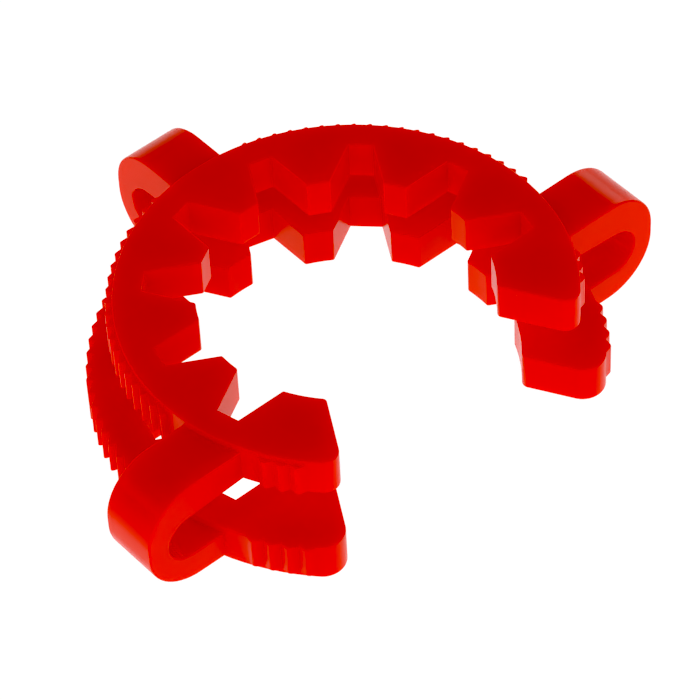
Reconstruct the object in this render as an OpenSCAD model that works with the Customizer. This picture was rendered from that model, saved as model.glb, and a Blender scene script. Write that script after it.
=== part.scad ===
// Ground glass joint clip: one springy moulding that snaps sideways onto an
// assembled cone and socket. Two toothed C plates grip the glass above and below
// the socket's rim, and three U straps at the outside hold the plates together.
// Z is the axis of the joint, the underside lies on z = 0, the mouth faces -Y.

/* [Upper plate] */
// Diameter of the circle that the upper tooth tips lie on, where they grip the cone's neck
upper_grip_d = 28.7; // [24:0.1:30]
// Depth of the notches between the upper teeth
upper_notch_depth = 5; // [3:0.1:6]
// Width of each upper notch at its bottom
upper_notch_w = 2.4; // [1:0.1:3.2]
// Width of the band from the bottom of the upper notches out to the smooth rim
upper_band = 2.95; // [1.5:0.05:5]
// Radius of the outer corner at each end of the upper plate
upper_corner_r = 1.5; // [0.5:0.1:3]
// Radius of the inner corner at each end of the upper plate, beside the last tooth's tip
upper_tip_r = 0.5; // [0.2:0.1:1.5]
// Smooth arc, in degrees, between the back strap and the first rib of the upper plate
upper_rib_lead = 3.2; // [0:0.1:4]
// Smooth arc, in degrees, between the last upper rib and the rounded end corner
upper_rib_end = 3.7; // [0.2:0.1:6]

/* [Lower plate] */
// Diameter of the circle that the lower tooth tips lie on, where they grip the socket's neck
lower_grip_d = 33.3; // [28:0.1:35]
// Depth of the notches between the lower teeth
lower_notch_depth = 4.55; // [3:0.05:6]
// Width of each lower notch at its bottom
lower_notch_w = 3.2; // [1:0.1:3.8]
// Width of the band from the bottom of the lower notches out to the smooth rim
lower_band = 3.6; // [1.5:0.05:5]
// Radius of the outer corner at each end of the lower plate
lower_corner_r = 2.3; // [0.5:0.1:3]
// Radius of the inner corner at each end of the lower plate, beside the last tooth's tip
lower_tip_r = 0.8; // [0.2:0.1:1.5]
// Smooth arc, in degrees, between the back strap and the first rib of the lower plate
lower_rib_lead = 0.7; // [0:0.1:4]
// Smooth arc, in degrees, between the last lower rib and the rounded end corner
lower_rib_end = 0.2; // [0.2:0.1:6]

/* [Both plates] */
// Thickness of each plate
plate_t = 4.3; // [3:0.1:6]
// Height of the slot between the plates, which takes the socket's rim
plate_gap = 4.8; // [3:0.1:8]
// Number of teeth round each plate
teeth = 9; // [7:2:9]
// Angle between neighbouring teeth
tooth_pitch = 30; // [26:1:32]
// Draft of each notch wall, measured from the notch's own centre line
notch_draft = 15; // [8:1:17]

/* [Mouth] */
// Slope of each end face, measured from the clip's centre line
mouth_slope = 30; // [20:1:40]
// Distance of each end face's plane from the clip's axis
mouth_offset = 4.4; // [3.5:0.1:6]

/* [Ribs] */
// Angle from one rib to the next round the rim
rib_pitch = 4; // [3:0.5:6]
// Height that the back ribs stand out from the rim
back_rib_h = 0.85; // [0.3:0.05:1.2]
// Height that the ribs next to the mouth stand out from the rim
end_rib_h = 0.6; // [0.3:0.05:1.2]
// Distance that the ribs stop short of the plates' outer faces
rib_relief = 0.65; // [0.2:0.05:1.5]
// Least smooth arc, in degrees, left between the last back rib and a side strap
side_rib_gap = 2.5; // [0:0.5:8]
// Least smooth arc, in degrees, left between a side strap and the first rib past it
end_rib_gap = 4; // [0:0.5:8]

/* [Straps] */
// Width of each strap
strap_w = 6.3; // [4:0.1:8]
// Distance that each strap reaches out past the rim of the wider plate
strap_out = 6.9; // [5.8:0.05:12]
// Step down from the top face to the straps
strap_top_step = 0.75; // [0.2:0.05:1.5]
// Step up from the underside to the straps
strap_foot_step = 0.2; // [0:0.05:1]
// Radius of a strap's two outer bends
strap_bend_r = 5.6; // [3:0.1:8]
// Wall of a strap at its outermost point
strap_wall = 2.35; // [1.5:0.05:3.5]
// Thickness of a strap's upper leg at its bend
upper_leg_t = 4.2; // [3:0.1:5]
// Thickness of a strap's lower leg
lower_leg_t = 3.15; // [2:0.05:4]
// Distance that the side straps are set from the clip's axis towards the mouth
side_strap_y = 5.75; // [4:0.05:7]

/* [Hidden] */
$fn = 96;
clip_colour = [0.86, 0.02, 0.01];
upper_z = plate_t + plate_gap;
clip_h = upper_z + plate_t;
upper_grip_r = upper_grip_d / 2;
upper_rim_r = upper_grip_r + upper_notch_depth + upper_band;
lower_grip_r = lower_grip_d / 2;
lower_rim_r = lower_grip_r + lower_notch_depth + lower_band;
strap_reach = max(upper_rim_r, lower_rim_r) + strap_out;
// Underside and top of the straps, and of the space inside them
strap_low = strap_foot_step;
strap_high = clip_h - strap_top_step;
hole_low = strap_low + lower_leg_t;
hole_high = strap_high - upper_leg_t;
// A strap's two bends can't be larger than half its height
bend_share = 0.49;
bend_r = min(strap_bend_r, bend_share * (strap_high - strap_low));
// How far a solid runs on past what it cuts or joins
run_on = 1;
// How far a strap's legs and the ends of a row of ribs are sunk into the rim
sunk = 0.3;
// Height that the valleys between ribs keep above the smooth rim
rib_valley = 0.04;
// How far the circle of an end's corner laps over the two faces that it joins
corner_lap = 0.005;
// Where a rib's crest stands in its own pitch, from 0 in the middle to 1 at the mouth side
back_rib_lean = 0.9;
end_rib_lean = 0;

// Point at a radius and an angle
function at(r, a) = [r * cos(a), r * sin(a)];

// The angles below are measured from the centre line at the back.
// Where a side strap's edge at a distance y towards the mouth crosses a rim
function strap_edge_a(rim_r, y) = 90 + asin(y / rim_r);

// Where a rim runs into its rounded end corner
function corner_a(rim_r, corner_r) =
    90 - mouth_slope + acos((mouth_offset + corner_r) / (rim_r - corner_r));

// One notch, cut inwards to outwards along +X: narrow at its bottom, wide at the tooth tips
module notch(grip_r, depth, w) {
    bottom = grip_r + depth;
    mouth = grip_r / 2;
    spread = (bottom - mouth) * tan(notch_draft);
    polygon([
        [bottom, -w / 2],
        [bottom, w / 2],
        [mouth, w / 2 + spread],
        [mouth, -w / 2 - spread]
    ]);
}

// All the notches of a plate, one between each pair of teeth
module notches(grip_r, depth, w) {
    for (i = [0 : teeth - 2])
        rotate(90 + (i - (teeth - 2) / 2) * tooth_pitch)
            notch(grip_r, depth, w);
}

// Waste round a rounded corner of an end face, between the corner's circle and a ray from the
// axis through its middle, run on to a given share of its distance
module corner_waste(x, y, r, reach) {
    difference() {
        polygon([
            [mouth_offset - run_on, y],
            [x, y],
            [x * reach, y * reach],
            [mouth_offset - run_on, y * reach]
        ]);
        translate([x, y])
            circle(r);
    }
}

// What the end on the +X side loses: the wedge of the mouth and the waste round both corners.
// Here +X is square to the end face and -Y runs outwards along it.
module end_waste(rim_r, grip_r, corner_r, tip_r) {
    far = rim_r + run_on + back_rib_h;
    corner_at = rim_r - corner_r + corner_lap;
    corner_x = mouth_offset + corner_r - corner_lap;
    tip_at = grip_r + tip_r - corner_lap;
    tip_x = mouth_offset + tip_r - corner_lap;
    translate([-far, -2 * far])
        square([far + mouth_offset, 2 * far]);
    corner_waste(corner_x, -sqrt(pow(corner_at, 2) - pow(corner_x, 2)), corner_r, far / corner_at);
    corner_waste(tip_x, -sqrt(pow(tip_at, 2) - pow(tip_x, 2)), tip_r, (grip_r - run_on) / tip_at);
}

// The open mouth, cut from both ends alike
module mouth(rim_r, grip_r, corner_r, tip_r) {
    for (side = [0, 1])
        mirror([side, 0])
            intersection() {
                rotate(mouth_slope)
                    end_waste(rim_r, grip_r, corner_r, tip_r);
                translate([0, -2 * rim_r])
                    square(2 * rim_r);
            }
}

// A row of ribs round a rim on the +X side, counted from the back towards the mouth
module rib_row(rim_r, first_a, count, height, lean) {
    half = rib_pitch / 2;
    start_a = 90 - first_a + half;
    end_a = start_a - count * rib_pitch;
    // Angle by which a flank runs on as it sinks into the rim
    flank_run_on = half * sunk / height;
    polygon([
        at(rim_r - sunk, start_a + (1 + lean) * flank_run_on),
        for (i = [0 : count - 1])
            let (a = start_a - i * rib_pitch)
            each [
                if (i > 0) at(rim_r + rib_valley, a),
                at(rim_r + height, a - (1 + lean) * half)
            ],
        at(rim_r - sunk, end_a - (1 - lean) * flank_run_on),
        for (i = [count - 1 : -1 : 1])
            at(rim_r - run_on, start_a - i * rib_pitch)
    ]);
}

// The ribs of one plate, alike on both sides: a long row from the back strap to a side
// strap, and a short one that leads up to the rounded end corner
module ribs(rim_r, corner_r, lead, end_gap) {
    back_start = asin(strap_w / 2 / rim_r) + lead;
    back_end = strap_edge_a(rim_r, side_strap_y - strap_w / 2) - side_rib_gap;
    back_count = floor((back_end - back_start) / rib_pitch);
    end_start = strap_edge_a(rim_r, side_strap_y + strap_w / 2) + end_rib_gap;
    end_end = corner_a(rim_r, corner_r) - end_gap;
    end_count = floor((end_end - end_start) / rib_pitch);
    linear_extrude(plate_t - rib_relief)
        for (side = [0, 1])
            mirror([side, 0]) {
                if (back_count > 0)
                    rib_row(rim_r, back_start + rib_pitch / 2, back_count,
                            back_rib_h, back_rib_lean);
                if (end_count > 0)
                    rib_row(rim_r, end_end - (end_count - 0.5) * rib_pitch, end_count,
                            end_rib_h, end_rib_lean);
            }
}

// One toothed C plate with its ribs: its inner face on z = 0, its outer face at plate_t
module plate(rim_r, grip_r, depth, w, corner_r, tip_r, lead, end_gap) {
    linear_extrude(plate_t)
        difference() {
            circle(rim_r);
            circle(grip_r);
            notches(grip_r, depth, w);
            mouth(rim_r, grip_r, corner_r, tip_r);
        }
    ribs(rim_r, corner_r, lead, end_gap);
}

// Where a strap's leg starts, sunk into a rim at the corner that stands furthest forward
function leg_start(rim_r) = sqrt(pow(rim_r, 2) - pow(side_strap_y + strap_w / 2, 2)) - sunk;

// Side view of a strap, reach along +X and height along +Y: the outside of the U
module strap_outline() {
    bend_x = strap_reach - bend_r;
    middle = (hole_low + hole_high) / 2;
    translate([leg_start(upper_rim_r), middle])
        square([bend_x - leg_start(upper_rim_r), strap_high - middle]);
    translate([leg_start(lower_rim_r), strap_low])
        square([bend_x - leg_start(lower_rim_r), middle - strap_low]);
    translate([bend_x - run_on, strap_low + bend_r])
        square([bend_r + run_on, strap_high - strap_low - 2 * bend_r]);
    for (y = [strap_low + bend_r, strap_high - bend_r])
        translate([bend_x, y])
            circle(bend_r);
}

// Side view of the space inside a strap: a round end, and a top that rises to the plate
module strap_hole() {
    end_r = (hole_high - hole_low) / 2;
    end_x = strap_reach - strap_wall - end_r;
    start_x = leg_start(min(upper_rim_r, lower_rim_r)) - run_on;
    translate([end_x, hole_low + end_r])
        circle(end_r);
    polygon([
        [start_x, hole_low],
        [end_x, hole_low],
        [end_x, hole_high],
        [leg_start(upper_rim_r), upper_z],
        [start_x, upper_z]
    ]);
}

// One strap, reaching out along +X and centred on it
module strap() {
    translate([0, strap_w / 2, 0])
        rotate([90, 0, 0])
            linear_extrude(strap_w)
                difference() {
                    strap_outline();
                    strap_hole();
                }
}

// The whole moulding: both plates, the back strap and the two side straps
module clip() {
    color(clip_colour) {
        translate([0, 0, plate_t])
            mirror([0, 0, 1])
                plate(lower_rim_r, lower_grip_r, lower_notch_depth, lower_notch_w,
                      lower_corner_r, lower_tip_r, lower_rib_lead, lower_rib_end);
        translate([0, 0, upper_z])
            plate(upper_rim_r, upper_grip_r, upper_notch_depth, upper_notch_w,
                  upper_corner_r, upper_tip_r, upper_rib_lead, upper_rib_end);
        rotate(90)
            strap();
        for (side = [0, 1])
            mirror([side, 0, 0])
                translate([0, -side_strap_y, 0])
                    strap();
    }
}

clip();
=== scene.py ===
# A red moulded clip for ground glass joints, lying on a white table.
import math

import bmesh
import bpy
from mathutils import Matrix, Vector


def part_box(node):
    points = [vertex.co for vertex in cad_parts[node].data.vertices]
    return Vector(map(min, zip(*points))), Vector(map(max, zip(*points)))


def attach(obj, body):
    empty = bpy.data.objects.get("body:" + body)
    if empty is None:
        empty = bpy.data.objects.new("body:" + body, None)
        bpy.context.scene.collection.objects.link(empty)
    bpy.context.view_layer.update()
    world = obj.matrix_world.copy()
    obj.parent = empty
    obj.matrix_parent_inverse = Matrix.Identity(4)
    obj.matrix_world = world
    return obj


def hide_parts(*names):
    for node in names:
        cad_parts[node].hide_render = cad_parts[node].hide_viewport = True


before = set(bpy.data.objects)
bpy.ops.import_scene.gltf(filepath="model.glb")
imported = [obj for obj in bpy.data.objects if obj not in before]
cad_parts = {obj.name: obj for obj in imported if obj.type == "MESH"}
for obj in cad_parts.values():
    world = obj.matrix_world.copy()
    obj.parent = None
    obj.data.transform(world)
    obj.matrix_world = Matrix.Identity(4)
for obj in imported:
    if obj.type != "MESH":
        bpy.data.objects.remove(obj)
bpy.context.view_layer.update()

# ---------------------------------------------------------------- camera
# A long lens looks down on the clip from the front left, so that the small ring
# is seen from above with the large ring under it.
film_width = 36
lens = 211.34
nearest = 0.01
aim = Vector((-0.001157, -0.001598, 0.0067))
distance = 0.39388
azimuth = math.radians(38.487)
elevation = math.radians(46.98)
roll = math.radians(-3.016)
look = Vector((
    math.sin(azimuth) * math.cos(elevation),
    math.cos(azimuth) * math.cos(elevation),
    -math.sin(elevation),
))
camera_data = bpy.data.cameras.new("camera")
camera_data.lens = lens
camera_data.sensor_width = film_width
camera_data.clip_start = nearest
camera = bpy.data.objects.new("camera", camera_data)
camera.matrix_world = (
    Matrix.Translation(aim - distance * look)
    @ look.to_track_quat("-Z", "Y").to_matrix().to_4x4()
    @ Matrix.Rotation(roll, 4, "Z")
)
bpy.context.scene.collection.objects.link(camera)
bpy.context.scene.camera = camera

# ---------------------------------------------------------------- clip
# One springy moulding of red acetal, which snaps sideways round a glass joint. The mould
# leaves its outer edges and the crests of its grip ribs a little round, and the plastic
# comes out of it smooth and glossy.
edge_round = 0.00017
edge_segments = 3
crest_round = 0.00035
crest_segments = 4
rib_relief = 0.00065

# Points nearer than same_point are one, and heights nearer than same_height are level
same_point = 1e-6
same_height = 0.00002

# Faces within flat_angle make one face, and edges past sharp_angle are rounded. An edge that
# still turns by more than crease_angle is shaded as a crease, and elsewhere the large faces
# lead the shading, so that they look flat.
flat_angle = math.radians(0.5)
sharp_angle = math.radians(28)
crease_angle = math.radians(50)
large_face_weight = 100

clip_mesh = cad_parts["clip"].data.copy()
clip_mesh.name = "clip_moulding"
clip_mesh.attributes.remove(clip_mesh.attributes["custom_normal"])
bm = bmesh.new()
bm.from_mesh(clip_mesh)
bmesh.ops.remove_doubles(bm, verts=bm.verts, dist=same_point)
bmesh.ops.dissolve_limit(
    bm, angle_limit=flat_angle, verts=bm.verts, edges=bm.edges, use_dissolve_boundaries=False,
)

# The ribs stop short of the outer faces of both rings, by rib_relief
low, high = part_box("clip")
rib_ends = (low[2] + rib_relief, high[2] - rib_relief)


def at_rib_end(vert):
    return any(abs(vert.co.z - rib_end) < same_height for rib_end in rib_ends)


def is_outer(edge):
    return edge.is_manifold and edge.is_convex and edge.calc_face_angle() > sharp_angle


def is_level(edge):
    return abs(edge.verts[0].co.z - edge.verts[1].co.z) < same_height


def round_off(edges, offset, segments):
    return bmesh.ops.bevel(
        bm, geom=edges, offset=offset, offset_type="OFFSET", segments=segments, profile=0.5,
        affect="EDGES", clamp_overlap=False, loop_slide=True, material=-1,
    )


# A crest runs from its rib's end to the gap between the rings, so it has one point at a rib end
crests = [
    edge for edge in bm.edges
    if is_outer(edge) and at_rib_end(edge.verts[0]) != at_rib_end(edge.verts[1])
]
rounded = round_off(crests, crest_round, crest_segments)
crest_lines = {edge for edge in rounded["edges"] if edge.is_valid and not is_level(edge)}

# The level edges round the ribs' ends are too close together to round, and stay sharp
outer_edges = [
    edge for edge in bm.edges
    if is_outer(edge) and edge not in crest_lines
    and not (at_rib_end(edge.verts[0]) and at_rib_end(edge.verts[1]))
]
round_off(outer_edges, edge_round, edge_segments)
for face in bm.faces:
    face.smooth = True
bm.to_mesh(clip_mesh)
bm.free()
clip_mesh.set_sharp_from_angle(angle=crease_angle)
clip = bpy.data.objects.new("clip_moulding", clip_mesh)
bpy.context.scene.collection.objects.link(clip)
even_shading = clip.modifiers.new("even_shading", "WEIGHTED_NORMAL")
even_shading.mode = "FACE_AREA"
even_shading.weight = large_face_weight
even_shading.keep_sharp = True


class Shade:
    """A socket among a material's nodes, so that sums on it are written as plain sums.

    Without a socket it only adds nodes.
    """

    def __init__(self, tree, socket=None):
        self.tree = tree
        self.socket = socket

    def node(self, kind, settings, values, output=0):
        made = self.tree.nodes.new(kind)
        for name, setting in settings.items():
            setattr(made, name, setting)
        for name, value in values.items():
            if isinstance(value, Shade):
                self.tree.links.new(value.socket, made.inputs[name])
            else:
                made.inputs[name].default_value = value
        return Shade(self.tree, made.outputs[output])

    def maths(self, operation, first, second):
        return self.node("ShaderNodeMath", {"operation": operation}, {0: first, 1: second})

    def __add__(self, other):
        return self.maths("ADD", self, other)

    def __rsub__(self, other):
        return self.maths("SUBTRACT", other, self)

    def __mul__(self, other):
        return self.maths("MULTIPLY", self, other)

    __radd__ = __add__
    __rmul__ = __mul__


def red_acetal():
    """Glossy red plastic: clouded a little where it flowed, with a faint ripple in its skin."""
    deep_red = (0.74, 0.0016, 0.0008, 1)
    clear_red = (0.88, 0.0026, 0.0012, 1)
    flow_scale = 90
    flow_share = 0.7
    patch_scale = 320
    patch_share = 0.3
    skin_scale = 1500
    skin_depth = 0.000004
    polish = 0.20
    patch_dulling = 0.06
    flow_dulling = 0.05
    refraction = 1.48
    mirror_level = 0.25

    # Light that enters the plastic travels furthest as red, and lights up the thin edges
    glow_share = 0.8
    glow_reach = 0.003
    glow_by_colour = (1.0, 0.08, 0.04)

    red = bpy.data.materials.new("red_acetal")
    red.use_nodes = True
    shader = red.node_tree.nodes["Principled BSDF"]
    shader.inputs["IOR"].default_value = refraction
    shader.inputs["Specular IOR Level"].default_value = mirror_level
    shader.inputs["Subsurface Weight"].default_value = glow_share
    shader.inputs["Subsurface Radius"].default_value = glow_by_colour
    shader.inputs["Subsurface Scale"].default_value = glow_reach

    nodes = Shade(red.node_tree)
    place = nodes.node("ShaderNodeTexCoord", {}, {}, "Object")
    flow = nodes.node("ShaderNodeTexNoise", {}, {"Vector": place, "Scale": flow_scale, "Detail": 3.0})
    patches = nodes.node("ShaderNodeTexNoise", {}, {"Vector": place, "Scale": patch_scale, "Detail": 4.0})
    skin = nodes.node("ShaderNodeTexNoise", {}, {"Vector": place, "Scale": skin_scale, "Detail": 2.0})
    colour = nodes.node("ShaderNodeMix", {"data_type": "RGBA"}, {
        "Factor": flow * flow_share + patches * patch_share,
        "A": deep_red,
        "B": clear_red,
    }, "Result")
    roughness = polish + patch_dulling * patches + flow_dulling * (1 - flow)
    ripple = nodes.node("ShaderNodeBump", {}, {"Strength": 1.0, "Distance": skin_depth, "Height": skin})
    red.node_tree.links.new(colour.socket, shader.inputs["Base Color"])
    red.node_tree.links.new(roughness.socket, shader.inputs["Roughness"])
    red.node_tree.links.new(ripple.socket, shader.inputs["Normal"])
    return red


clip_mesh.materials.clear()
clip_mesh.materials.append(red_acetal())
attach(clip, "root")
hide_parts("clip")

# ---------------------------------------------------------------- table
# A large white table top that glows, as a light table does, so that the clip lies on it
# with no shadow. It shows only from above, and is a hair below the clip's foot.
table_half = 3
table_gap = 0.00002
table_data = bpy.data.meshes.new("table")
bm = bmesh.new()
bmesh.ops.create_grid(
    bm, x_segments=1, y_segments=1, size=table_half, matrix=Matrix.Translation((0, 0, -table_gap)),
)
bm.to_mesh(table_data)
bm.free()
table = bpy.data.objects.new("table", table_data)
bpy.context.scene.collection.objects.link(table)


def glowing_white():
    """The table top's white glow, which is clear when seen from below."""
    screen = (0.05, 0.05, 0.05, 1)
    screen_roughness = 0.8
    screen_mirror_level = 0.1
    glow = 1.0
    white = bpy.data.materials.new("white_table")
    white.use_nodes = True
    surface = white.node_tree.nodes["Principled BSDF"]
    surface.inputs["Base Color"].default_value = screen
    surface.inputs["Roughness"].default_value = screen_roughness
    surface.inputs["Specular IOR Level"].default_value = screen_mirror_level
    surface.inputs["Emission Color"].default_value = (1, 1, 1, 1)
    surface.inputs["Emission Strength"].default_value = glow
    table_top = Shade(white.node_tree, surface.outputs["BSDF"])
    underneath = table_top.node("ShaderNodeNewGeometry", {}, {}, "Backfacing")
    clear = table_top.node("ShaderNodeBsdfTransparent", {}, {})
    one_sided = table_top.node("ShaderNodeMixShader", {}, {0: underneath, 1: table_top, 2: clear})
    output = white.node_tree.nodes["Material Output"]
    white.node_tree.links.new(one_sided.socket, output.inputs["Surface"])
    return white


table_data.materials.append(glowing_white())

# ---------------------------------------------------------------- studio light
# A white tent round the table, brighter towards the table than overhead, and five soft
# boxes that draw fine highlights along the rounded edges.
low_wall = 0.15
high_wall = 0.9
light_by_table = 0.88
light_overhead = 0.18
tent = bpy.data.worlds.new("tent")
tent.use_nodes = True
tent_light = tent.node_tree.nodes["Background"]
tent_light.inputs["Color"].default_value = (1, 1, 1, 1)
tent_nodes = Shade(tent.node_tree)
direction = tent_nodes.node("ShaderNodeTexCoord", {}, {}, "Generated")
height = tent_nodes.node("ShaderNodeSeparateXYZ", {}, {"Vector": direction}, "Z")
brightness = tent_nodes.node("ShaderNodeMapRange", {}, {
    "Value": height,
    "From Min": low_wall,
    "From Max": high_wall,
    "To Min": light_by_table,
    "To Max": light_overhead,
})
tent.node_tree.links.new(brightness.socket, tent_light.inputs["Strength"])
bpy.context.scene.world = tent

# Each soft box: its name, the way to it from the clip, its width and its power in watts
box_distance = 1.0
soft_boxes = [
    ("left_box", (-0.80, 0.0, 0.60), 0.18, 0.75),
    ("front_box", (0.42, -0.74, 0.53), 0.15, 0.9),
    ("near_box", (-0.55, -0.66, 0.35), 0.15, 0.6),
    ("back_left_box", (-0.71, 0.53, 0.40), 0.25, 0.4),
    ("back_right_box", (0.76, 0.53, 0.37), 0.45, 1.2),
]
for name, towards, width, power in soft_boxes:
    box_data = bpy.data.lights.new(name, "AREA")
    box_data.shape = "SQUARE"
    box_data.size = width
    box_data.energy = power
    soft_box = bpy.data.objects.new(name, box_data)
    way = Vector(towards).normalized()
    soft_box.matrix_world = (
        Matrix.Translation(aim + box_distance * way) @ way.to_track_quat("Z", "Y").to_matrix().to_4x4()
    )
    soft_box.visible_camera = False
    bpy.context.scene.collection.objects.link(soft_box)

# The view is graded so that the faintest white reflections drop out of the red
black_level = (0.0, 0.047, 0.07)
view = bpy.context.scene.view_settings
view.view_transform = "Standard"
view.use_curve_mapping = True
view.curve_mapping.black_level = black_level
view.curve_mapping.update()
